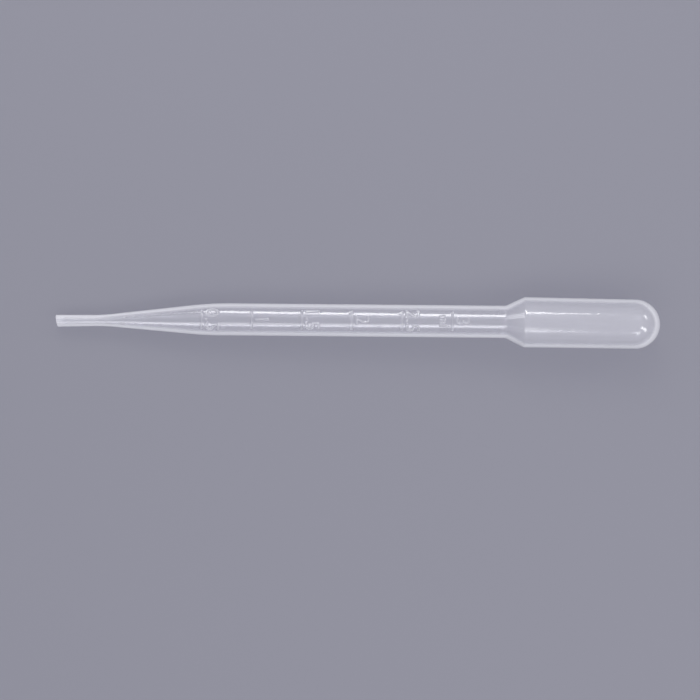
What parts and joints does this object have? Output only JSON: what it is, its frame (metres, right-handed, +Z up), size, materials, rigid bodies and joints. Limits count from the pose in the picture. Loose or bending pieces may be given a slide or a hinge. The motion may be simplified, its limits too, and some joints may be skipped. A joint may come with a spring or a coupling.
{
  "type": "plastic dropper pipette",
  "caption": "Long hollow dropper pipette in translucent plastic: a fine open tip, a tapered nose, a round graduated stem and a domed squeeze bulb, moulded as one piece.",
  "frame": {"origin": "middle of the pipette's length, on the surface it lies on", "axes": "+X along the pipette from the tip to the bulb, +Z up, with the graduation lines on top; the axis leans 1.7 degrees up towards the bulb because the pipette rests on small flats at the bulb's rim and the stem's shoulder"},
  "size_m": [0.155, 0.013, 0.0135],
  "materials": {
    "natural_ldpe": "natural low-density polyethylene, uncoloured and milky translucent, blow-moulded with a soft gloss"
  },
  "bodies": {
    "root": {"pipette": "natural_ldpe"}
  },
  "joints": []
}
